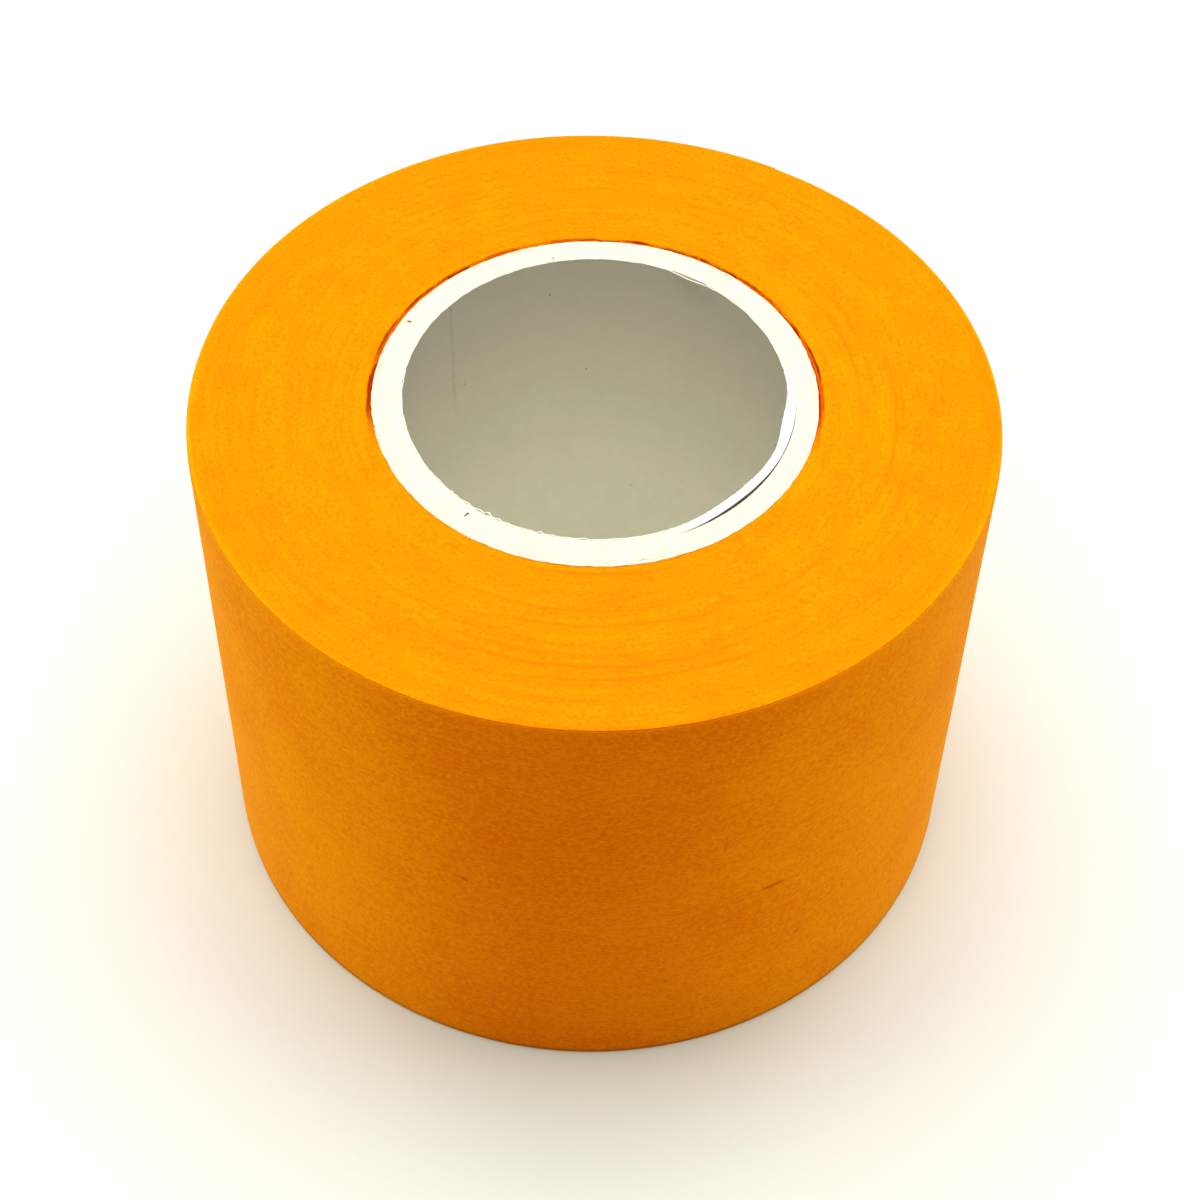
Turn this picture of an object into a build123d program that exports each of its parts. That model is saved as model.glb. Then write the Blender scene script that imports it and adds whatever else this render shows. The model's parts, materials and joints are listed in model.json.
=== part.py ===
from build123d import *
import math
import os

# Roll of washi masking tape on a spiral-wound paper core.
# Millimetres, +Z up along the roll's own axis, the roll standing on one cut face.
# The origin is on that face, on the axis of the roll.

os.makedirs("parts", exist_ok=True)

# ---- driving dimensions ----------------------------------------------------
tape_width = 50.0            # width of the tape, the height of the standing roll
tape_thickness = 0.09        # one layer of crepe washi paper with its adhesive
tape_turns = 174             # layers wound on the core

core_bore_radius = 16.3      # free radius inside the paper core
liner_thickness = 0.12       # grey paper lining the bore
board_1_thickness = 0.60     # innermost white board ply
board_2_thickness = 0.50
board_3_thickness = 0.50
board_4_thickness = 0.45
thin_1_thickness = 0.20      # two thin plies near the outside of the core
thin_2_thickness = 0.15
cover_thickness = 0.10       # smooth white paper round the outside of the core

face_dish = 0.88             # how far the core and inner turns stand up through the roll
flat_land_radius = 30.0      # outside this radius the cut faces of the tape are flat
core_rim_rise = 0.32         # how much higher the bore edge stands than the outer edge

seam_gap = 0.30              # butt gap along the edge of each wound strip
seam_lead = 88.0             # axial travel of a strip for one full turn
start_gap = 0.40             # gap where the tape's own start meets itself

free_segments = 8            # hinged lengths along the tape's free end
free_segment_length = 5.0    # length of each along the roll's surface
free_end_azimuth = 62.0      # where the cut end of the tape lies, degrees from +X
free_end_lift = 0.05         # how far the free end lies off the turn below it
segment_gap = 0.03           # slit between one hinged length and the next

# ---- dimensions that follow ------------------------------------------------
core_outer_radius = core_bore_radius + liner_thickness + board_1_thickness \
    + board_2_thickness + board_3_thickness + board_4_thickness \
    + thin_1_thickness + thin_2_thickness + cover_thickness
core_wall = core_outer_radius - core_bore_radius
roll_radius = core_outer_radius + tape_turns * tape_thickness
first_turn_radius = core_outer_radius + tape_thickness
segment_angle = math.degrees(free_segment_length / roll_radius)
free_angle = segment_angle * free_segments
overshoot = 1.0              # how far cutting tools pass the faces they cut


# ---- helpers ---------------------------------------------------------------
def tube(inner_radius, outer_radius, low, high):
    """A plain ring between two radii and two heights."""
    ring = Circle(outer_radius) - Circle(inner_radius)
    return Pos(0, 0, low) * extrude(ring, high - low)


def spiral_area(end_radius):
    """The area inside one turn of a spiral that grows by one tape thickness.

    The spiral ends on the +X axis at end_radius and runs back anticlockwise,
    drawn as two half circles that meet smoothly on the -X axis.
    """
    quarter = tape_thickness / 4
    far = -(end_radius - tape_thickness / 2)
    near = end_radius - tape_thickness
    upper_radius = end_radius - quarter
    lower_radius = end_radius - 3 * quarter
    upper = ThreePointArc((end_radius, 0), (quarter, upper_radius), (far, 0))
    lower = ThreePointArc((far, 0), (-quarter, -lower_radius), (near, 0))
    step = Line((near, 0), (end_radius, 0))
    return make_face([upper, lower, step])


def wedge_area(start, stop, reach):
    """A pie slice between two angles in degrees, out to a radius."""
    middle = (start + stop) / 2
    a = math.radians(start)
    m = math.radians(middle)
    b = math.radians(stop)
    corner_a = (reach * math.cos(a), reach * math.sin(a))
    corner_m = (reach * math.cos(m), reach * math.sin(m))
    corner_b = (reach * math.cos(b), reach * math.sin(b))
    side_a = Line((0, 0), corner_a)
    rim = ThreePointArc(corner_a, corner_m, corner_b)
    side_b = Line(corner_b, (0, 0))
    return make_face([side_a, rim, side_b])


def rim_height(inner_radius):
    """Top of a core ply: the cut rim stands highest at the bore."""
    inward = (core_outer_radius - inner_radius) / core_wall
    return tape_width + face_dish + core_rim_rise * inward


def seam_cutter(inner_radius, outer_radius, azimuth, lead):
    """A thin blade that follows the edge of a helically wound strip."""
    middle = (inner_radius + outer_radius) / 2
    height = tape_width + 4 * overshoot
    path = Helix(pitch=abs(lead), height=height, radius=middle, lefthand=lead < 0)
    section = Plane(origin=path @ 0, x_dir=(1, 0, 0), z_dir=path % 0)
    depth = (outer_radius - inner_radius) + 2 * liner_thickness
    blade = sweep(section * Rectangle(depth, seam_gap), path=path, is_frenet=True)
    low = face_dish - 2 * overshoot
    return Pos(0, 0, low) * Rot(0, 0, azimuth) * blade


def wound_ply(inner_radius, thickness, azimuth, lead):
    """One strip of the core, wound as a helix and butted against itself."""
    outer_radius = inner_radius + thickness
    ring = tube(inner_radius, outer_radius, face_dish, rim_height(inner_radius))
    return ring - seam_cutter(inner_radius, outer_radius, azimuth, lead)


# ---- the paper core --------------------------------------------------------
board_1_radius = core_bore_radius + liner_thickness
board_2_radius = board_1_radius + board_1_thickness
board_3_radius = board_2_radius + board_2_thickness
board_4_radius = board_3_radius + board_3_thickness
thin_1_radius = board_4_radius + board_4_thickness
thin_2_radius = thin_1_radius + thin_1_thickness
cover_radius = thin_2_radius + thin_2_thickness


def make_core_inner_liner():
    """Grey liner paper, wound the same way as the boards."""
    return wound_ply(core_bore_radius, liner_thickness, 150.0, seam_lead)


def make_core_board_1():
    return wound_ply(board_1_radius, board_1_thickness, 250.0, seam_lead)


def make_core_board_2():
    return wound_ply(board_2_radius, board_2_thickness, 20.0, seam_lead)


def make_core_board_3():
    return wound_ply(board_3_radius, board_3_thickness, 130.0, seam_lead)


def make_core_board_4():
    return wound_ply(board_4_radius, board_4_thickness, 300.0, seam_lead)


def make_core_thin_ply_1():
    return wound_ply(thin_1_radius, thin_1_thickness, 70.0, seam_lead)


def make_core_thin_ply_2():
    return wound_ply(thin_2_radius, thin_2_thickness, 200.0, seam_lead)


def make_core_cover():
    """Smooth outer paper of the core, which the tape starts on."""
    return wound_ply(cover_radius, cover_thickness, 340.0, seam_lead)


# ---- the wound tape --------------------------------------------------------
def make_tape_first_turn():
    """The first layer, stuck to the core, with the gap at its own start."""
    ring = tube(core_outer_radius, first_turn_radius, face_dish, face_dish + tape_width)
    reach = first_turn_radius + overshoot
    middle = face_dish + tape_width / 2
    slit = Pos(reach / 2, 0, middle) * Box(reach, start_gap, tape_width + overshoot)
    return ring - Rot(0, 0, free_end_azimuth) * slit


def dished_body():
    """A turned body whose two cut faces rise together towards the core."""
    reach = roll_radius + overshoot
    outline = Polyline(
        (first_turn_radius, face_dish),
        (flat_land_radius, 0),
        (reach, 0),
        (reach, tape_width),
        (flat_land_radius, tape_width),
        (first_turn_radius, tape_width + face_dish),
        close=True,
    )
    return revolve(Plane.XZ * make_face(outline), axis=Axis.Z)


def make_tape_pack():
    """All the turns between the first and the last, wound tight."""
    area = spiral_area(roll_radius - tape_thickness) - Circle(first_turn_radius)
    wound = Rot(0, 0, free_end_azimuth) * extrude(area, tape_width + face_dish)
    return wound & dished_body()


def last_turn_area():
    return spiral_area(roll_radius) - spiral_area(roll_radius - tape_thickness)


def make_tape_outer_turn():
    """The last layer as far as the line where its free end lifts off."""
    free_part = wedge_area(0, free_angle, roll_radius + overshoot)
    area = last_turn_area() - free_part
    return Rot(0, 0, free_end_azimuth) * extrude(area, tape_width)


def make_tape_end_segment(index):
    """One hinged length of the free end; number 1 is next to the roll."""
    half_slit = math.degrees(segment_gap / 2 / roll_radius)
    stop = free_angle - (index - 1) * segment_angle - half_slit
    start = free_angle - index * segment_angle + half_slit
    outside = free_lift_area(roll_radius + free_end_lift)
    inside = free_lift_area(roll_radius - tape_thickness + free_end_lift)
    area = (outside - inside) & wedge_area(start, stop, roll_radius + overshoot)
    return Rot(0, 0, free_end_azimuth) * extrude(area, tape_width)


def free_lift_area(end_radius):
    """The half circle that the free end follows, closed across the middle."""
    quarter = tape_thickness / 4
    upper_radius = end_radius - quarter
    return Pos(quarter, 0, 0) * Circle(upper_radius)


# ---- write one STEP file for each piece -------------------------------------
pieces = {
    "core_inner_liner": make_core_inner_liner(),
    "core_board_1": make_core_board_1(),
    "core_board_2": make_core_board_2(),
    "core_board_3": make_core_board_3(),
    "core_board_4": make_core_board_4(),
    "core_thin_ply_1": make_core_thin_ply_1(),
    "core_thin_ply_2": make_core_thin_ply_2(),
    "core_cover": make_core_cover(),
    "tape_first_turn": make_tape_first_turn(),
    "tape_pack": make_tape_pack(),
    "tape_outer_turn": make_tape_outer_turn(),
}
for number in range(1, free_segments + 1):
    pieces["tape_end_%d" % number] = make_tape_end_segment(number)

for name, shape in pieces.items():
    export_step(shape, os.path.join("parts", name + ".step"))
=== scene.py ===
import json
import math

import bmesh
import bpy
from mathutils import Matrix, Vector, noise

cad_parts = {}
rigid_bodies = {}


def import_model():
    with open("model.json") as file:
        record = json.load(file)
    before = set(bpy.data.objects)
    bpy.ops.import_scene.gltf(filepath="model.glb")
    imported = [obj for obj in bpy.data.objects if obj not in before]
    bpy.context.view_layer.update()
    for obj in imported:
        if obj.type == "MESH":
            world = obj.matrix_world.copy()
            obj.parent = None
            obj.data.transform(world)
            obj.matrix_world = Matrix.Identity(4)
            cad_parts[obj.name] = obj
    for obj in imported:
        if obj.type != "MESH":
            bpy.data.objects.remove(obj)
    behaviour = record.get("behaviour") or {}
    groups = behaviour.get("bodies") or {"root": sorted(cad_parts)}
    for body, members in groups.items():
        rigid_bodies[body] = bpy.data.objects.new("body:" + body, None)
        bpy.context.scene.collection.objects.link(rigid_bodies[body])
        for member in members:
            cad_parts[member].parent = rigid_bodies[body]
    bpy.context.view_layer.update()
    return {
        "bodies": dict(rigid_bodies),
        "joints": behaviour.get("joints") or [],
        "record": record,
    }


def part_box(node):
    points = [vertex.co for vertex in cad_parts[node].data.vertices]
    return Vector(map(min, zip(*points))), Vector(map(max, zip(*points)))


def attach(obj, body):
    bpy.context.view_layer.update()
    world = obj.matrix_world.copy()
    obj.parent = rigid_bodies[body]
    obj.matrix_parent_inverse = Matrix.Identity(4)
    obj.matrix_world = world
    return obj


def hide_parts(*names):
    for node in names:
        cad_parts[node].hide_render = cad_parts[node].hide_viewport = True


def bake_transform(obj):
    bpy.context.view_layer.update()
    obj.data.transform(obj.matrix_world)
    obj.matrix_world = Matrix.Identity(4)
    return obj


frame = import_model()

# A full roll of orange washi masking tape on a spiral-wound paper core, standing on
# one cut face. Metres; +Z runs up the roll's axis, and the free end is on the +Y side.

MM = 0.001
FULL_TURN = 2 * math.pi


# ---- sizes read from the frame ----------------------------------------------
def reach(node):
    """The outer radius of a node that is round about the axis."""
    low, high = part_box(node)
    return max(high[0], high[1], -low[0], -low[1])


def top_of(node):
    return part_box(node)[1][2]


def bottom_of(node):
    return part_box(node)[0][2]


pivots = {joint["name"]: Vector(joint["pos_m"]) for joint in frame["joints"]}
free_bodies = sorted(body for body in frame["bodies"] if body.startswith("end_"))
hinges = ["end_peel"] + ["end_bend_%d" % number for number in range(2, len(free_bodies) + 1)]
hinge_angles = [math.atan2(pivots[name].y, pivots[name].x) for name in hinges]
segment_angle = hinge_angles[0] - hinge_angles[1]
tip_angle = hinge_angles[-1] - segment_angle
free_angle = segment_angle * len(hinges)

bore_radius = frame["record"]["mounts"][0]["dims"]["r_mm"] * MM
core_radius = reach("core_cover")
first_turn_radius = reach("tape_first_turn")
paper = first_turn_radius - core_radius
roll_radius = reach("tape_pack") + paper
width = top_of("tape_outer_turn") - bottom_of("tape_outer_turn")
dish = bottom_of("core_cover")
bore_rim = top_of("core_inner_liner")
turns = round((roll_radius - core_radius) / paper)

# ---- sizes chosen for the looks -------------------------------------------------
DISH_START = 33.0 * MM
EDGE_BAND = 0.55 * MM
EDGE_DROP = 0.28 * MM
TURN_UNEVENNESS = 0.030 * MM
OVAL = 0.05 * MM
LOBES = 0.03 * MM
GROOVE_DEPTH = 0.45 * MM
GROOVE_WANDER = 0.25 * MM
GROOVE_INNER = 0.16 * MM
GROOVE_OUTER = 0.42 * MM
FIRST_LAYER_GAP = 0.4 * MM
FREE_END_LIFT = 0.05 * MM
PEEL_CREASE = 0.9 * MM
SEAM_LEAD = 88.0 * MM
SEAM_GAP = 0.30 * MM

# How finely each piece is divided: columns round it, rows up it.
PACK_COLUMNS = 200
LAST_TURN_COLUMNS = 260
LAST_TURN_ROWS = 80
FIRST_LAYER_COLUMNS = 300
FIRST_LAYER_ROWS = 24
PLY_COLUMNS = 600
PLY_ROWS = 32
PLY_RIM_CUTS = 4
FREE_COLUMNS = 25
FREE_ROWS = 60


# ---- modelling helpers --------------------------------------------------------
def deselect():
    if bpy.context.object and bpy.context.object.mode == "EDIT":
        bpy.ops.object.mode_set(mode="OBJECT")
    bpy.ops.object.select_all(action="DESELECT")


def choose(piece, kind, wanted):
    """In edit mode, select only the edges or faces that pass a test."""
    cage = bmesh.from_edit_mesh(piece.data)
    for item in list(cage.verts) + list(cage.edges) + list(cage.faces):
        item.select = False
    for item in getattr(cage, kind):
        if wanted(item):
            item.select_set(True)
    bmesh.update_edit_mesh(piece.data)


def ring_wall(name, inner, outer, low, high, columns, rows, rim_cuts, start=0.0, angle=FULL_TURN):
    """A ring of some wall thickness about the axis, whole or open, divided for shaping."""
    whole = angle >= FULL_TURN
    column = FULL_TURN / columns
    wall = outer - inner
    deselect()
    bpy.ops.mesh.primitive_cylinder_add(
        vertices=columns,
        radius=outer,
        depth=high - low,
        end_fill_type="NOTHING",
        location=(0, 0, (low + high) / 2),
    )
    piece = bpy.context.object
    piece.name = name
    piece.data.name = name
    bpy.ops.object.transform_apply(location=True, rotation=True, scale=True)
    bpy.ops.object.mode_set(mode="EDIT")

    def in_the_slit(face):
        middle = face.calc_center_median()
        return (math.atan2(middle.y, middle.x) - math.pi / 2) % FULL_TURN < column

    def upright(edge):
        return abs(edge.verts[0].co.z - edge.verts[1].co.z) > (high - low) / 2

    def across_the_rim(edge):
        one, other = edge.verts[0].co, edge.verts[1].co
        at_rim = min(abs(one.z - low), abs(one.z - high)) < (high - low) / 10000
        return at_rim and abs(one.xy.length - other.xy.length) > wall / 2

    if not whole:
        choose(piece, "faces", in_the_slit)
        bpy.ops.mesh.delete(type="FACE")
    if rows > 1:
        choose(piece, "edges", upright)
        bpy.ops.mesh.subdivide(number_cuts=rows - 1)
    bpy.ops.object.mode_set(mode="OBJECT")
    modifier = piece.modifiers.new("wall", "SOLIDIFY")
    modifier.thickness = wall
    modifier.offset = -1
    modifier.use_even_offset = True
    bpy.ops.object.modifier_apply(modifier="wall")
    bpy.ops.object.mode_set(mode="EDIT")
    if rim_cuts:
        choose(piece, "edges", across_the_rim)
        bpy.ops.mesh.subdivide(number_cuts=rim_cuts)
    bpy.ops.mesh.select_all(action="SELECT")
    bpy.ops.mesh.normals_make_consistent(inside=False)
    bpy.ops.object.mode_set(mode="OBJECT")

    def close_up(radius, place, height):
        """Spread the open ring over the angle that is wanted."""
        travel = (place - math.pi / 2 - column / 2) % FULL_TURN - column / 2
        travel = min(FULL_TURN - column, max(0.0, travel))
        return radius, start + travel * angle / (FULL_TURN - column), height

    if not whole:
        reshape(piece, close_up)
    return piece


def reshape(piece, move):
    """Move every point to the radius, angle and height that move() gives for it."""
    for point in piece.data.vertices:
        x, y, z = point.co
        radius, angle, height = move(math.hypot(x, y), math.atan2(y, x), z)
        point.co = (radius * math.cos(angle), radius * math.sin(angle), height)
    piece.data.update()


def finish(piece, angle=40.0):
    """Smooth shading that keeps the cut edges crisp."""
    deselect()
    piece.select_set(True)
    bpy.context.view_layer.objects.active = piece
    bpy.ops.object.shade_smooth_by_angle(angle=math.radians(angle))


def smooth_step(low, high, value):
    share = min(1.0, max(0.0, (value - low) / (high - low)))
    return share * share * (3 - 2 * share)


def hump(centre, half_width, value):
    """1 at the centre of a band, falling smoothly to 0 at its edges."""
    return 1 - smooth_step(0, half_width, abs(value - centre))


def turned(angle, centre):
    """How far an angle lies from a centre, between half a turn each way."""
    return (angle - centre + math.pi) % FULL_TURN - math.pi


def grain(radius, angle, height, across, along, up, seed=0.0):
    """Smooth noise from -1 to 1; the counts say how many lumps fit in a millimetre."""
    x = math.cos(angle) * along * roll_radius / MM + seed
    y = math.sin(angle) * along * roll_radius / MM
    return noise.noise(Vector((x + radius / MM * across, y - radius / MM * across, height / MM * up)))


# ---- the shape of the wound tape ------------------------------------------------
def back_from_tip(angle):
    """How far round the strip an angle lies from its cut end, from 0 to 1 turn."""
    return ((angle - tip_angle) % FULL_TURN) / FULL_TURN


def dish_height(radius):
    """The cut faces rise together towards the core."""
    share = smooth_step(DISH_START, core_radius - 3 * MM, radius)
    linear = min(1.0, max(0.0, (roll_radius - radius) / (roll_radius - core_radius)))
    return dish * (0.35 * share + 0.65 * linear * linear)


def worn_edge(radius):
    """How far the outermost turns have been rubbed down at the cut faces."""
    share = min(1.0, max(0.0, (radius - roll_radius + EDGE_BAND) / EDGE_BAND))
    return EDGE_DROP * (1 - math.sqrt(1 - share * share))


def turn_height(radius, angle, side):
    """How far the edge of one turn stands above or below its neighbours."""
    cosine = math.cos(angle)
    sine = math.sin(angle)
    bands = noise.noise(Vector((radius / MM * 0.55, cosine * 0.6, sine * 0.6 + side * 9)))
    fine = noise.noise(Vector((radius / MM * 5.1, cosine * 2.2, sine * 2.2 + side * 5)))
    return TURN_UNEVENNESS * bands + TURN_UNEVENNESS * fine


def roundness(angle):
    """The roll is a little out of round, as wound paper is."""
    return OVAL * math.cos(2 * angle + 0.6) + LOBES * math.cos(3 * angle - 1.1)


def core_groove(angle):
    """How far the first few turns have sunk beside the core, on the far side only."""
    far_side = smooth_step(-0.35, 0.05, math.sin(angle))
    patches = grain(0, angle, 0, 0, 0.16, 0, 21.0)
    return far_side * (GROOVE_DEPTH + GROOVE_WANDER * patches)


def make_wound_pack():
    """All the middle turns, with the edge of each turn standing at its own height."""
    outer = roll_radius - paper
    piece = ring_wall("wound_pack", first_turn_radius, outer, 0, width, PACK_COLUMNS, 1, turns - 3)
    step_width = FULL_TURN / PACK_COLUMNS

    def move(radius, angle, height):
        side = 1 if height > width / 2 else -1
        share = (radius - first_turn_radius) / (outer - first_turn_radius)
        uneven = turn_height(radius, angle, side) * smooth_step(0, 0.02, 1 - share)
        lift = dish_height(radius) + uneven - side * worn_edge(radius)
        if back_from_tip(angle) * FULL_TURN > FULL_TURN - 1.5 * step_width:
            angle = tip_angle - step_width / 25
        shrink = paper * back_from_tip(angle) * share
        from_core = radius - first_turn_radius
        if side > 0:
            lift -= core_groove(angle) * (1 - smooth_step(GROOVE_INNER, GROOVE_OUTER, from_core))
        radius += share * roundness(angle) - shrink
        return radius, angle, height + lift

    reshape(piece, move)
    finish(piece)
    return piece


DENTS = (
    # azimuth in degrees, height, half width round the roll, half height, depth
    (252.8, 26.5, 0.45, 0.35, 0.08),
    (297.6, 22.7, 1.5, 0.35, 0.09),
    (303.1, 12.8, 0.5, 0.45, 0.06),
    (272.3, 35.7, 0.4, 0.35, 0.05),
    (239.5, 46.8, 0.7, 0.35, 0.04),
)


def dent_depth(angle, height):
    depth = 0.0
    for azimuth, place, half_round, half_high, deep in DENTS:
        across = turned(angle, math.radians(azimuth)) * roll_radius
        spot = hump(0, half_round * MM, across) * hump(place * MM, half_high * MM, height)
        depth += deep * MM * spot
    return depth


def outer_face(angle, height):
    """The unevenness of the outermost paper over the turns below it."""
    swell = grain(0, angle, height, 0, 0.10, 0.05, 3.0)
    ripple = grain(0, angle, height, 0, 0.35, 0.9, 11.0)
    return 0.03 * MM * swell + 0.008 * MM * ripple - dent_depth(angle, height)


def rubbed_down(height):
    """The outermost paper is a little narrower than the strip was cut."""
    return EDGE_DROP + height * (width - 2 * EDGE_DROP) / width


def make_last_turn():
    """The outermost layer, from under the cut end round to the peel line."""
    start = tip_angle + free_angle
    sweep = FULL_TURN - free_angle
    piece = ring_wall(
        "last_turn", roll_radius - paper, roll_radius, 0, width,
        LAST_TURN_COLUMNS, LAST_TURN_ROWS, 0, start, sweep,
    )

    def move(radius, angle, height):
        shrink = paper * back_from_tip(angle - 1e-6)
        edge = hump(0, 0.25 * MM, height) + hump(width, 0.25 * MM, height)
        on_face = radius > roll_radius - paper / 2
        lift = turn_height(roll_radius, angle, 1) * edge * 0.5
        radius += roundness(angle) - shrink + outer_face(angle, height) * (1 - edge * 0.6)
        if on_face:
            radius -= 0.035 * MM * edge
        return radius, angle, rubbed_down(height) + lift

    reshape(piece, move)
    finish(piece)
    return piece


def make_first_layer():
    """The layer stuck to the core, standing a little clear of the pack in places."""
    gap = FIRST_LAYER_GAP / core_radius
    top = dish + width
    start = tip_angle + gap / 2
    piece = ring_wall(
        "first_layer", core_radius, first_turn_radius, dish, top,
        FIRST_LAYER_COLUMNS, FIRST_LAYER_ROWS, 0, start, FULL_TURN - gap,
    )

    def move(radius, angle, height):
        depth = top - height
        near_top = 1 - smooth_step(0, 3 * MM, depth)
        loose = hump(0, math.radians(22), turned(angle, math.radians(156)))
        lift = grain(radius, angle, 0, 0, 0.5, 0, 7.0) * 0.05 * MM * near_top
        lower = (core_groove(angle) + 0.05 * MM) * near_top
        return radius - 0.02 * MM * loose * near_top, angle, height + lift - lower

    reshape(piece, move)
    finish(piece)
    return piece


# ---- the paper core ---------------------------------------------------------------
SPLIT_DEPTH = 5.0 * MM
FLARE_DEPTH = 0.7 * MM


def band(azimuth, half_width, angle):
    """1 at an azimuth of the core, in degrees, falling smoothly to 0 either side of it."""
    return hump(math.radians(azimuth), math.radians(half_width), turned(angle, 0))


def split(angle, height, thicker):
    """How far the innermost ply leans into the bore where it has come away."""
    gap = 1.25 * band(-46, 24, angle) + 0.35 * band(-22, 28, angle)
    bulge = band(-10, 14, angle)
    depth = max(0.0, bore_rim - height)
    return (0.22 * gap + 0.26 * bulge * thicker) * MM * math.exp(-depth / SPLIT_DEPTH)


def flare(angle, height):
    """A soft tongue of the lining paper that stands off the rim on the far side."""
    beside = band(60, 9, angle)
    low_edge = hump(math.radians(245), math.radians(40), turned(angle, math.pi) + math.pi)
    ragged = max(0.0, grain(0, angle, 0, 0, 0.8, 0, 33.0))
    depth = max(0.0, bore_rim - height)
    return (0.30 * beside + 0.55 * low_edge * ragged) * MM * math.exp(-depth / FLARE_DEPTH)


def rim_fray(angle, seed, rough):
    """The torn unevenness of a cut ply's edge."""
    coarse = grain(0, angle, seed, 0, 0.25, 1.0, seed)
    fine = grain(0, angle, seed, 0, 1.6, 1.0, seed + 4)
    tuft = max(0.0, grain(0, angle, seed, 0, 0.9, 1.0, seed + 8) - 0.35)
    return rough * (0.5 * coarse + 0.5 * fine + 1.6 * tuft)


def make_ply(name, node, inner, seam_angle, seed, rough, splits, next_top):
    """One wound strip of the core: an open ring with its seam twisted into a helix.

    Its rim slopes down to the top of the strip outside it, so the whole rim is one curve.
    """
    outer = reach(node)
    low, high = bottom_of(node), top_of(node)
    gap = SEAM_GAP / outer
    lining = node == "core_inner_liner"
    piece = ring_wall(
        name, inner, outer, low, high,
        PLY_COLUMNS, PLY_ROWS, PLY_RIM_CUTS, gap / 2, FULL_TURN - gap,
    )
    wall = outer - inner

    def move(radius, angle, height):
        angle += seam_angle + FULL_TURN * (height - dish + 2 * MM) / SEAM_LEAD
        at_top = 1 - smooth_step(0, 0.4 * MM, high - height)
        at_bottom = 1 - smooth_step(0, 0.4 * MM, height - low)
        fray = rim_fray(angle, seed, rough)
        across = (radius - inner) / wall
        crown = math.sin(math.pi * across) * min(0.10 * wall, 0.03 * MM)
        radius += 0.3 * fray * (at_top + at_bottom)
        if splits:
            radius -= split(angle, height, 1.0 if lining else 1 - across)
        if lining:
            radius -= flare(angle, height)
        if node in ("core_inner_liner", "core_cover"):
            wobble = grain(0, angle, 0, 0, 0.30, 0, seed + 17)
            wobble += grain(0, angle, 0, 0, 0.9, 0, seed + 19)
            radius -= 0.05 * MM * wobble * (1 - smooth_step(0, 0.8 * MM, high - height))
        height += (at_top - at_bottom) * (fray + crown) - at_top * (high - next_top) * across
        return radius, angle, height

    reshape(piece, move)
    finish(piece, 50.0)
    return piece


# ---- the free end --------------------------------------------------------------------
def free_span(number):
    """The angles a length of the free end covers, from the roll's side to the tip's.

    Each one is centred on its own bend line, but the first starts at the peel line.
    """
    bend = hinge_angles[number - 1]
    near = bend if number == 1 else bend + segment_angle / 2
    far = tip_angle if number == len(hinges) else bend - segment_angle / 2
    return near, far


def make_free_length(number):
    """One length of the free end, a thin sheet on the curve of the roll."""
    near, far = free_span(number)
    last = number == len(hinges)
    inner = roll_radius - paper
    name = "free_end_%d" % number
    piece = ring_wall(
        name, inner, roll_radius, 0, width, FREE_COLUMNS, FREE_ROWS, 0, far, near - far
    )

    def move(radius, angle, height):
        travel = back_from_tip(angle + 1e-7) * FULL_TURN
        lift = FREE_END_LIFT * smooth_step(free_angle, free_angle - segment_angle, travel)
        shrink = paper * back_from_tip(angle + 1e-7)
        if last:
            near_cut = 1 - smooth_step(0, segment_angle * 0.8, travel)
            lift += 0.02 * MM * near_cut * near_cut
            cut = 1 - smooth_step(0, segment_angle * 0.15, travel)
            wander = grain(0, 0, height, 0, 0, 0.8, 2.0) * 0.12 * MM
            angle += cut * wander / roll_radius
        swell = 0.4 * outer_face(angle, height)
        return radius + roundness(angle) - shrink + lift + swell, angle, rubbed_down(height)

    reshape(piece, move)
    finish(piece)
    return piece


# ---- shader building -------------------------------------------------------------------
class Value:
    """A number that changes over a surface, with plain arithmetic on it."""

    def __init__(self, sheet, socket):
        self.sheet = sheet
        self.socket = socket

    def calc(self, operation, *others):
        node = self.sheet.add("ShaderNodeMath", {"operation": operation}, {})
        for place, item in enumerate((self,) + others):
            self.sheet.feed(node.inputs[place], item)
        return Value(self.sheet, node.outputs[0])

    def __add__(self, other):
        return self.calc("ADD", other)

    def __sub__(self, other):
        return self.calc("SUBTRACT", other)

    def __mul__(self, other):
        return self.calc("MULTIPLY", other)

    def __truediv__(self, other):
        return self.calc("DIVIDE", other)

    def __pow__(self, other):
        return self.calc("POWER", other)

    def __radd__(self, other):
        return self.calc("ADD", other)

    def __rsub__(self, other):
        return self.sheet.number(other).calc("SUBTRACT", self)

    def between(self, low, high):
        """0 below low, 1 above high, and smooth in between; it may run downwards."""
        node = self.sheet.add(
            "ShaderNodeMapRange",
            {"interpolation_type": "SMOOTHSTEP"},
            {"Value": self, "From Min": low, "From Max": high},
        )
        return Value(self.sheet, node.outputs[0])


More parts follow.
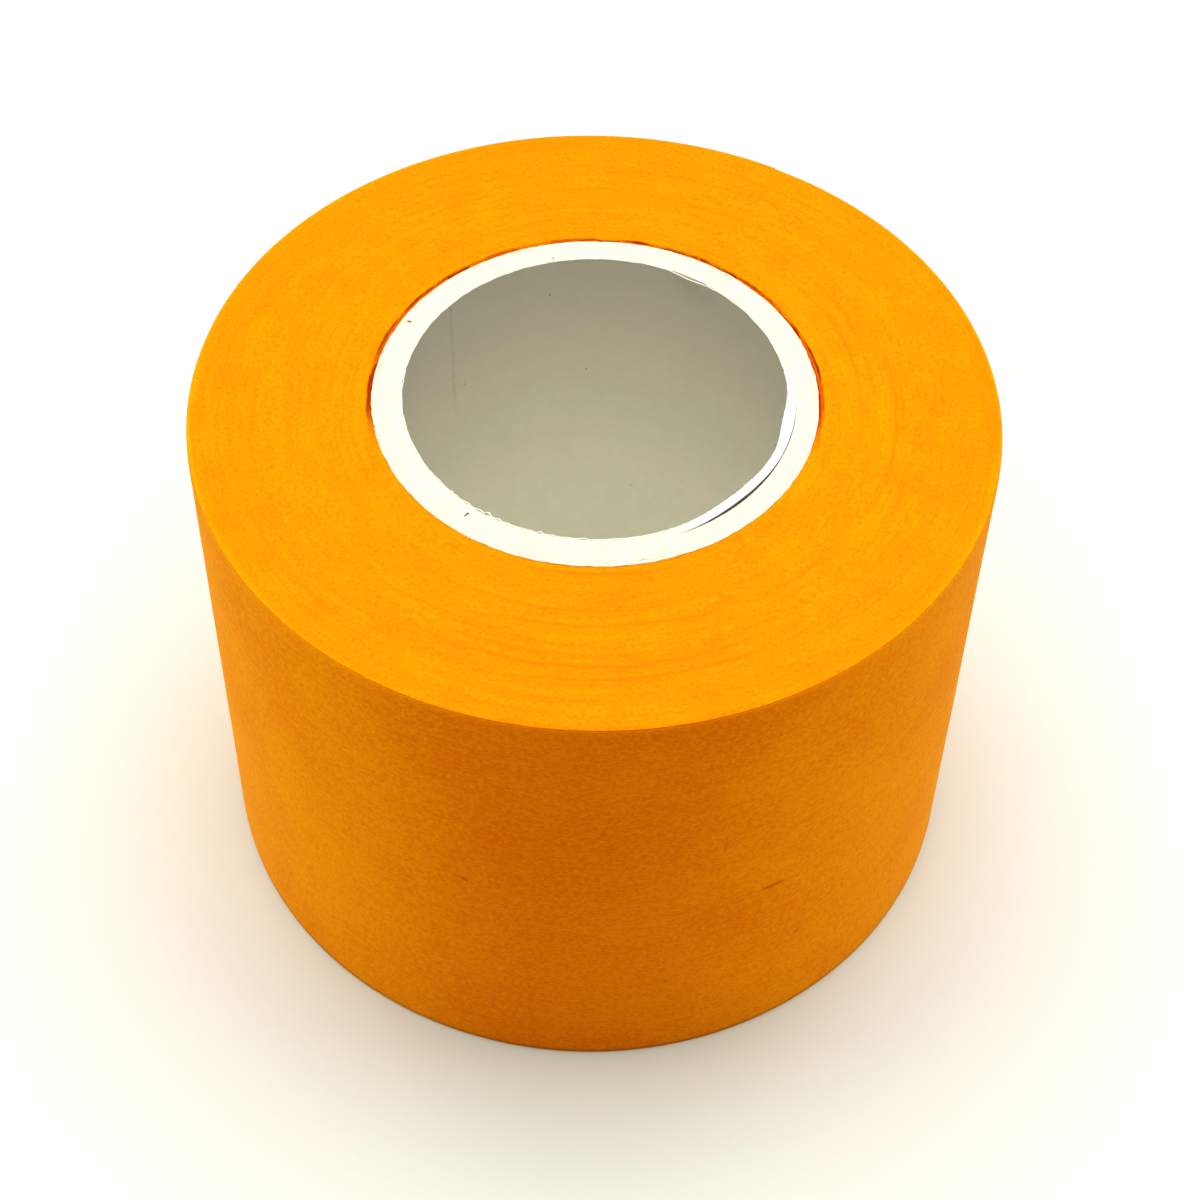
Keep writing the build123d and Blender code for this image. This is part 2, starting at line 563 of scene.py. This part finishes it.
class Sheet:
    """A material being made up, with its Principled shader."""

    def __init__(self, name):
        self.material = bpy.data.materials.new(name)
        self.material.use_nodes = True
        self.tree = self.material.node_tree
        self.shader = self.tree.nodes["Principled BSDF"]
        self.place = self.add("ShaderNodeTexCoord", {}, {}).outputs["Object"]
        parts = self.add("ShaderNodeSeparateXYZ", {}, {"Vector": self.place})
        self.x = Value(self, parts.outputs["X"])
        self.y = Value(self, parts.outputs["Y"])
        self.z = Value(self, parts.outputs["Z"])
        self.radius = (self.x * self.x + self.y * self.y) ** 0.5
        self.normal = None

    def feed(self, socket, item):
        if isinstance(item, Value):
            self.tree.links.new(item.socket, socket)
        elif isinstance(item, bpy.types.NodeSocket):
            self.tree.links.new(item, socket)
        else:
            socket.default_value = item

    def add(self, kind, settings, values):
        """Any node: its type, then its settings, then its sockets' values or links."""
        node = self.tree.nodes.new(kind)
        for key, setting in settings.items():
            setattr(node, key, setting)
        for key, item in values.items():
            self.feed(node.inputs[key], item)
        return node

    def number(self, amount):
        node = self.add("ShaderNodeValue", {}, {})
        node.outputs[0].default_value = amount
        return Value(self, node.outputs[0])

    def vector(self, x, y, z):
        return self.add("ShaderNodeCombineXYZ", {}, {"X": x, "Y": y, "Z": z}).outputs[0]

    def noise(self, where, scale, detail=2.0, rough=0.5, bend=0.0):
        node = self.add(
            "ShaderNodeTexNoise",
            {},
            {"Vector": where, "Scale": scale, "Detail": detail, "Roughness": rough, "Distortion": bend},
        )
        return Value(self, node.outputs["Fac"])

    def specks(self, where, scale):
        node = self.add("ShaderNodeTexVoronoi", {}, {"Vector": where, "Scale": scale})
        return Value(self, node.outputs["Distance"])

    def mixed(self, share, colour_a, colour_b):
        """Colour a where share is 0 and colour b where it is 1."""
        node = self.add("ShaderNodeMix", {"data_type": "RGBA"}, {})
        self.feed(node.inputs["Factor"], share)
        self.feed(node.inputs[6], self.tone(colour_a))
        self.feed(node.inputs[7], self.tone(colour_b))
        return node.outputs[2]

    def tone(self, colour):
        return colour if isinstance(colour, bpy.types.NodeSocket) else tuple(colour) + (1.0,)

    def bump(self, height, depth):
        """Raise the surface by height times depth, on top of any bump before."""
        values = {"Height": height, "Distance": depth, "Strength": 1.0}
        if self.normal is not None:
            values["Normal"] = self.normal
        self.normal = self.add("ShaderNodeBump", {}, values).outputs["Normal"]

    def done(self, colour, rough, **fixed):
        """Connect what varies and set what is the same all over."""
        self.feed(self.shader.inputs["Base Color"], self.tone(colour))
        self.feed(self.shader.inputs["Roughness"], rough)
        if self.normal is not None:
            self.feed(self.shader.inputs["Normal"], self.normal)
        for key, amount in fixed.items():
            self.shader.inputs[key.replace("_", " ")].default_value = amount
        return self.material


# ---- finishes -----------------------------------------------------------------------------
TAPE_ORANGE = (0.86, 0.214, 0.0008)
TAPE_DEEP = (0.74, 0.105, 0.0004)
TAPE_PALE = (0.98, 0.310, 0.004)
EDGE_ORANGE = (0.97, 0.362, 0.0010)
EDGE_DEEP = (0.91, 0.240, 0.0005)
EDGE_PALE = (0.98, 0.370, 0.003)
RIM_HIGHLIGHT_ORANGE = (0.97, 0.205, 0.001)
FOOT_SHADE_BROWN = (0.36, 0.045, 0.001)
FLECK_BROWN = (0.25, 0.07, 0.01)
DENT_SHADE_RED = (0.50, 0.035, 0.001)
RING_TONE_AND_SHADE_ORANGE = (0.74, 0.150, 0.0008)
GAP_SHADOW_RED = (0.38, 0.022, 0.0008)
STICKY_DEEP = (0.88, 0.33, 0.022)
STICKY_PALE = (0.95, 0.43, 0.045)
SPLIT_SHADE_DARK = (0.13, 0.10, 0.07)
SPLIT_SHADE_PALE = (0.34, 0.28, 0.20)
CLEAN_WHITE = (0.93, 0.95, 0.97)
BOARD_SPECK = (0.30, 0.19, 0.11)
LINER_DEEP = (0.91, 0.88, 0.73)
LINER_PALE = (0.955, 0.93, 0.80)
LINER_TOP_SHADE = (0.73, 0.68, 0.56)
LINER_FLECK = (0.22, 0.15, 0.10)
SCUFF_GREY = (0.50, 0.50, 0.44)
FLOOR_DEEP = (0.91, 0.905, 0.90)
FLOOR_PALE = (0.93, 0.925, 0.92)
FLOOR_BOUNCE_OFFSET = (0.915, 0.965, 0.925)


def toward(x, y, azimuth):
    """How far a place lies in the direction of an azimuth given in radians."""
    return x * math.cos(azimuth) + y * math.sin(azimuth)


def washi_paper():
    """The printed face of the tape: thin crepe paper with its fibres showing."""
    sheet = Sheet("washi paper")
    run = sheet.vector(sheet.x * 2300, sheet.y * 2300, sheet.z * 3800)
    long_run = sheet.vector(sheet.x * 260, sheet.y * 260, sheet.z * 2200)
    fibre = sheet.noise(run, 1.0, 4.0, 0.65)
    streak = sheet.noise(long_run, 1.0, 3.0, 0.6)
    cloud = sheet.noise(sheet.place, 70.0, 3.0, 0.5)
    hair = sheet.noise(sheet.place, 1100.0, 2.0, 0.5, 1.6)
    thread = 1 - (hair - 0.5).calc("ABSOLUTE").between(0.0, 0.03)
    tone = (fibre * 0.62 + streak * 0.16 + cloud * 0.22).between(0.34, 0.66)
    colour = sheet.mixed(tone, TAPE_DEEP, TAPE_ORANGE)
    # Painted highlight: a lighter, redder band along the top and bottom edges of the side, standing in
    # for light on the rounded edges.
    from_middle = (sheet.z - width / 2).calc("ABSOLUTE")
    rim = from_middle.between(width / 2 - 1.0 * MM, width / 2 - 0.1 * MM)
    colour = sheet.mixed(rim * 0.6, colour, RIM_HIGHLIGHT_ORANGE)
    # Painted contact shadow: dark red-brown along the foot of the side, where the roll meets the floor.
    foot_shade = sheet.z.between(1.0 * MM, 0.3 * MM)
    colour = sheet.mixed(foot_shade * 0.7, colour, FOOT_SHADE_BROWN)
    colour = sheet.mixed(thread * 0.16, colour, TAPE_PALE)
    dots = sheet.specks(sheet.place, 420.0).between(0.05, 0.02)
    rare = sheet.noise(sheet.place, 160.0, 1.0).between(0.66, 0.72)
    colour = sheet.mixed(dots * rare * 0.6, colour, FLECK_BROWN)
    # Painted shade in each dent: darker red, more so the deeper the dent.
    for azimuth, place, half_round, half_high, deep in DENTS:
        ahead = math.radians(azimuth)
        beside = ahead + math.pi / 2
        facing = toward(sheet.x, sheet.y, ahead).between(0.5 * roll_radius, 0.8 * roll_radius)
        across = toward(sheet.x, sheet.y, beside) / (half_round * MM)
        up = (sheet.z - place * MM) / (half_high * MM)
        spot = (across * across + up * up).between(0.9, 0.1) * facing
        colour = sheet.mixed(spot * fibre.between(0.25, 0.55) * deep * 9, colour, DENT_SHADE_RED)
    sheet.bump(fibre, 0.02 * MM)
    sheet.bump(thread, 0.008 * MM)
    sheet.bump(streak, 0.015 * MM)
    return sheet.done(
        colour,
        0.75 + fibre * 0.15,
        Sheen_Weight=0.14,
        Sheen_Roughness=0.30,
        Sheen_Tint=(1.0, 0.95, 0.30, 1.0),
        Specular_IOR_Level=0.0,
    )


# Darker arcs on the cut faces: partly the turns' own deeper tone, partly painted shade of the steps
# between groups of turns.
RING_TONE_AND_SHADE_ARCS = (
    # radius in mm, azimuth of the middle, half its length in degrees, darkness
    (19.6, 272, 24, 0.55),
    (23.2, 264, 38, 0.40),
    (24.7, 276, 28, 0.45),
    (27.3, 256, 22, 0.30),
    (28.4, 266, 34, 0.45),
    (29.6, 281, 22, 0.45),
    (25.6, 2, 30, 0.45),
    (22.6, 12, 34, 0.30),
    (22.2, 120, 40, 0.30),
    (31.0, 222, 24, 0.30),
)


def cut_edges():
    """The slit edges of all the turns, seen as fine rings."""
    sheet = Sheet("tape cut edges")
    cosine = sheet.x / sheet.radius
    sine = sheet.y / sheet.radius
    face = sheet.z * 30
    fine = sheet.noise(sheet.vector(sheet.radius * 11000, cosine * 7, sine * 7 + face), 1.0, 2.0)
    group = sheet.noise(sheet.vector(sheet.radius * 1700, cosine * 2.0, sine * 2.0 + face), 1.0, 2.0)
    belt = sheet.noise(sheet.vector(sheet.radius * 420, cosine * 1.1, sine * 1.1 + face), 1.0, 1.0)
    grit = sheet.noise(sheet.place, 3200.0, 3.0, 0.7)
    patch = sheet.noise(sheet.place, 260.0, 3.0, 0.6)
    tone = (fine * 0.18 + group * 0.16 + grit * 0.50 + patch * 0.16).between(0.36, 0.64)
    colour = sheet.mixed(tone, EDGE_DEEP, EDGE_ORANGE)
    colour = sheet.mixed(grit.between(0.60, 0.78) * 0.5, colour, EDGE_PALE)
    colour = sheet.mixed(belt.between(0.58, 0.72) * 0.22, colour, EDGE_DEEP)
    wander = (patch - 0.5) * 0.9 * MM + (grit - 0.5) * 0.25 * MM
    # Paint the darker arcs: own tone and painted shade together.
    for ring, azimuth, half_length, dark in RING_TONE_AND_SHADE_ARCS:
        ahead = toward(cosine, sine, math.radians(azimuth))
        along = ahead.between(math.cos(math.radians(half_length)), 1.0)
        off = (sheet.radius + wander - ring * MM).calc("ABSOLUTE")
        line = off.between(0.30 * MM, 0.0)
        colour = sheet.mixed(line * along * grit.between(0.35, 0.6) * dark, colour, RING_TONE_AND_SHADE_ORANGE)
    # Painted shadow: dark red in the gap between the tape and the core, on the far side only.
    patchy = sheet.noise(sheet.vector(cosine * 7, sine * 7, face), 1.0, 4.0)
    edge = first_turn_radius + patchy * 0.8 * MM - 0.08 * MM
    at_core_shadow = (sheet.radius - edge).between(0.10 * MM, -0.08 * MM)
    far_side = sheet.y.between(-7 * MM, 0 * MM)
    colour = sheet.mixed(at_core_shadow * far_side * 0.95, colour, GAP_SHADOW_RED)
    sheet.bump(fine, 0.03 * MM)
    sheet.bump(grit, 0.02 * MM)
    return sheet.done(colour, 0.85, Specular_IOR_Level=0.02)


def adhesive_face():
    """The sticky inner face of the tape: paler than the print, and a little shiny."""
    sheet = Sheet("tape adhesive face")
    run = sheet.vector(sheet.x * 1500, sheet.y * 1500, sheet.z * 2600)
    fibre = sheet.noise(run, 1.0, 3.0, 0.6)
    cloud = sheet.noise(sheet.place, 120.0, 3.0)
    tone = (fibre * 0.6 + cloud * 0.4).between(0.30, 0.70)
    colour = sheet.mixed(tone, STICKY_DEEP, STICKY_PALE)
    sheet.bump(fibre, 0.006 * MM)
    return sheet.done(colour, 0.42 + cloud * 0.15, Specular_IOR_Level=0.35)


def split_gap_shade():
    """The outer wall of the split ply: dark, mottled painted shade, for the shadow in the gap where it
    has come away.
    """
    sheet = Sheet("glue stained board")
    shade_mottle = sheet.noise(sheet.place, 700.0, 4.0, 0.65)
    colour = sheet.mixed(shade_mottle.between(0.35, 0.65), SPLIT_SHADE_DARK, SPLIT_SHADE_PALE)
    sheet.bump(shade_mottle, 0.05 * MM)
    return sheet.done(colour, 0.8, Specular_IOR_Level=0.2)


def board_edge(name, base, dark, seed, speckle=0.5, white_patch=False):
    """Cut paper board: short fibres, with faint lines where it is pressed in layers."""
    sheet = Sheet(name)
    cosine = sheet.x / sheet.radius
    sine = sheet.y / sheet.radius
    layers = sheet.noise(sheet.vector(sheet.radius * 9000 + seed, cosine * 6, sine * 6), 1.0, 3.0)
    pulp = sheet.noise(sheet.place, 1500.0, 4.0, 0.7)
    cloud = sheet.noise(sheet.place, 350.0, 2.0)
    tone = (layers * 0.35 + pulp * 0.45 + cloud * 0.2).between(0.34, 0.54)
    colour = sheet.mixed(tone, dark, base)
    if white_patch:
        ahead = toward(cosine, sine, math.radians(-27))
        patch = ahead.between(math.cos(math.radians(40)), math.cos(math.radians(28)))
        colour = sheet.mixed(patch, colour, CLEAN_WHITE)
    dots = sheet.specks(sheet.place, 900.0).between(0.11, 0.04)
    rarer = 0.12 * speckle
    rare = sheet.noise(sheet.place, 420.0, 1.0).between(0.70 - rarer, 0.76 - rarer)
    left_side = sheet.x.between(2 * MM, -6 * MM) * 0.8 + 0.2
    colour = sheet.mixed(dots * rare * left_side * 0.9, colour, BOARD_SPECK)
    sheet.bump(pulp, 0.06 * MM)
    sheet.bump(layers, 0.03 * MM)
    return sheet.done(colour, 0.88, Specular_IOR_Level=0.25)


SCUFF_AZIMUTH = math.radians(141.5)


def grey_liner():
    """The recycled grey paper inside the bore: mottled, with a few dark flecks."""
    sheet = Sheet("grey liner paper")
    mottle = sheet.noise(sheet.place, 260.0, 4.0, 0.6)
    pulp = sheet.noise(sheet.place, 1400.0, 4.0, 0.7)
    run = sheet.noise(sheet.vector(sheet.x * 900, sheet.y * 900, sheet.z * 300), 1.0, 3.0)
    tone = (mottle * 0.3 + pulp * 0.5 + run * 0.2).between(0.30, 0.70)
    colour = sheet.mixed(tone, LINER_DEEP, LINER_PALE)
    # Painted shade: the wall darkens towards the top of the bore.
    colour = sheet.mixed(sheet.z.between(0.35 * width, width) * 0.5, colour, LINER_TOP_SHADE)
    dots = sheet.specks(sheet.place, 420.0).between(0.07, 0.03)
    rare = sheet.noise(sheet.place, 240.0, 1.0).between(0.54, 0.62)
    colour = sheet.mixed(dots * rare * 0.75, colour, LINER_FLECK)
    along = toward(sheet.x, sheet.y, SCUFF_AZIMUTH)
    beside = toward(sheet.x, sheet.y, SCUFF_AZIMUTH + math.pi / 2).calc("ABSOLUTE")
    scuff = beside.between(0.35 * MM, 0.05 * MM) * along.between(0, 8 * MM)
    scuff = scuff * sheet.z.between(36 * MM, 41 * MM) * pulp.between(0.35, 0.6)
    colour = sheet.mixed(scuff * 0.35, colour, SCUFF_GREY)
    sheet.bump(pulp, 0.04 * MM)
    sheet.bump(mottle, 0.05 * MM)
    return sheet.done(colour, 0.85, Specular_IOR_Level=0.25)


def studio_floor():
    """White card, painted a little greener near the roll to offset the orange light it picks up there.
    """
    sheet = Sheet("studio floor")
    cloud = sheet.noise(sheet.place, 6.0, 2.0)
    colour = sheet.mixed(cloud.between(0.3, 0.7), FLOOR_DEEP, FLOOR_PALE)
    near_roll = sheet.radius.between(66.0 * MM, 36.0 * MM)
    colour = sheet.mixed(near_roll, colour, FLOOR_BOUNCE_OFFSET)
    return sheet.done(colour, 0.9, Specular_IOR_Level=0.1)


def coat(piece, pick, *finishes):
    """Give a piece several finishes; pick(face) says which one a face takes."""
    piece.data.materials.clear()
    for material in finishes:
        piece.data.materials.append(material)
    for face in piece.data.polygons:
        face.material_index = pick(face)


def outwardness(face):
    """How much a face looks away from the axis; below 0 it looks towards it."""
    return face.normal.x * face.center.x + face.normal.y * face.center.y


def looks_outward(face):
    """1 on a face that looks straight away from the axis, 0 on the rest."""
    return 1 if outwardness(face) > 0.7 * face.center.xy.length else 0


# ---- make the roll ---------------------------------------------------------------------------
paper_face = washi_paper()
edge_face = cut_edges()
sticky_face = adhesive_face()
cream_board = board_edge("cream board", (0.95, 0.925, 0.765), (0.86, 0.82, 0.64), 0.0)
inner_board = board_edge("inner board", (0.95, 0.925, 0.77), (0.87, 0.83, 0.66), 40.0, 1.0, True)
thin_paper = board_edge("thin core paper", (0.95, 0.92, 0.76), (0.74, 0.64, 0.44), 80.0, 1.0)
liner_paper = grey_liner()


def flat_or_wall(face):
    """1 on a face that looks up or down, 0 on an upright one."""
    return 1 if abs(face.normal.z) > 0.6 else 0


def tape_faces(face):
    """0 printed face, 1 cut edge, 2 sticky face."""
    if flat_or_wall(face):
        return 1
    return 2 if outwardness(face) < 0 else 0


def plain(face):
    """One finish all over."""
    return 0


def stand_for(piece, node, body="roll"):
    """Hide the node a piece stands in for, and attach the piece to the body it rides on if it has only
    one.
    """
    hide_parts(node)
    if body:
        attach(piece, body)
    next(s["material_slot"] for s in frame["record"]["subparts"] if s["node"] == node)


wound_pack = make_wound_pack()
coat(wound_pack, flat_or_wall, paper_face, edge_face)
stand_for(wound_pack, "tape_pack")

last_turn = make_last_turn()
coat(last_turn, tape_faces, paper_face, edge_face, sticky_face)
stand_for(last_turn, "tape_outer_turn")

first_layer = make_first_layer()
coat(first_layer, tape_faces, paper_face, edge_face, sticky_face)
stand_for(first_layer, "tape_first_turn")

PLIES = (
    # piece, node, azimuth of the seam in degrees, roughness of the rim in mm,
    # whether it leans away at the split, finish
    ("liner_strip", "core_inner_liner", 150, 0.030, True, liner_paper),
    ("board_strip_1", "core_board_1", 250, 0.050, True, inner_board),
    ("board_strip_2", "core_board_2", 20, 0.035, False, cream_board),
    ("board_strip_3", "core_board_3", 130, 0.035, False, cream_board),
    ("board_strip_4", "core_board_4", 300, 0.035, False, cream_board),
    ("thin_strip_1", "core_thin_ply_1", 70, 0.060, False, thin_paper),
    ("thin_strip_2", "core_thin_ply_2", 200, 0.060, False, cream_board),
    ("cover_strip", "core_cover", 340, 0.040, False, cream_board),
)
inner = bore_radius
for order, (name, node, azimuth, rough, splits, material) in enumerate(PLIES):
    next_top = top_of(PLIES[min(order + 1, len(PLIES) - 1)][1])
    seam_angle = math.radians(azimuth)
    ply = make_ply(name, node, inner, seam_angle, 10.0 * order, rough * MM, splits, next_top)
    if node == "core_inner_liner":
        coat(ply, flat_or_wall, material, inner_board)
    elif node == "core_board_1":
        # Its outer wall takes painted shade, seen in the split.
        coat(ply, looks_outward, material, split_gap_shade())
    elif node == "core_cover":
        coat(ply, looks_outward, material, sticky_face)
    else:
        coat(ply, plain, material)
    stand_for(ply, node)
    inner = reach(node)

for number, body in enumerate(free_bodies, start=1):
    length = make_free_length(number)
    coat(length, tape_faces, paper_face, edge_face, sticky_face)
    stand_for(length, "tape_end_%d" % number, None)
    bend = pivots[hinges[number - 1]]
    ahead = segment_angle / 2
    if number == 1:
        ahead = PEEL_CREASE / roll_radius
    if number == 2:
        ahead = segment_angle / 4
    end = Matrix.Rotation(-ahead, 4, "Z") @ bend
    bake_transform(length)


# ---- floor, lights and camera -------------------------------------------------------------------
def aim(thing, target):
    direction = Vector(target) - thing.location
    thing.rotation_euler = direction.to_track_quat("-Z", "Y").to_euler()


def softbox(name, place, size, power, colour):
    lamp = bpy.data.lights.new(name, "AREA")
    lamp.shape = "RECTANGLE"
    lamp.size, lamp.size_y = size
    lamp.energy = power
    lamp.color = colour
    box = bpy.data.objects.new(name, lamp)
    bpy.context.scene.collection.objects.link(box)
    box.location = place
    aim(box, (0, 0, width / 2))


FLOOR_SIZE = 6
SOFT_WHITE = (1.0, 0.995, 0.97)
SOFT_YELLOW = (0.98, 2.15, 0.5)
WORLD_COLOUR = (1.0, 0.92, 0.80, 1.0)
WORLD_STRENGTH = 0.10

deselect()
bpy.ops.mesh.primitive_plane_add(size=FLOOR_SIZE, location=(0, 0, 0))
floor = bpy.context.object
floor.name = "floor"
floor.data.materials.append(studio_floor())

softbox("softbox above", (0.0, 0.18, 0.85), (0.8, 0.5), 7.4, SOFT_WHITE)
softbox("softbox front", (0.0, -0.32, 0.80), (0.9, 0.4), 2.3, SOFT_WHITE)
softbox("softbox left", (-0.75, 0.02, 0.028), (0.5, 0.05), 2.9, SOFT_YELLOW)
softbox("softbox right", (0.75, 0.02, 0.028), (0.5, 0.05), 2.5, SOFT_YELLOW)

world = bpy.data.worlds.new("studio")
world.use_nodes = True
background = world.node_tree.nodes["Background"]
background.inputs["Color"].default_value = WORLD_COLOUR
background.inputs["Strength"].default_value = WORLD_STRENGTH
bpy.context.scene.world = world

# The distance and the elevation are from the middle of the roll's top face.
camera_distance = 216.5 * MM
camera_elevation = math.radians(46.45)
camera_aim = Vector((0.80, 0.0, 23.4)) * MM
camera_roll = math.radians(1.35)
camera_lens = 76.26
camera_sensor = 36.0

lens = bpy.data.cameras.new("camera")
lens.sensor_width = camera_sensor
lens.lens = camera_lens
lens.clip_start = 0.01
camera = bpy.data.objects.new("camera", lens)
bpy.context.scene.collection.objects.link(camera)
back = camera_distance * math.cos(camera_elevation)
camera.location = (0, -back, width + camera_distance * math.sin(camera_elevation))
look = (camera_aim - camera.location).to_track_quat("-Z", "Y").to_matrix()
camera.rotation_euler = (look @ Matrix.Rotation(camera_roll, 3, "Z")).to_euler()
bpy.context.scene.camera = camera
bpy.context.scene.view_settings.view_transform = "Standard"
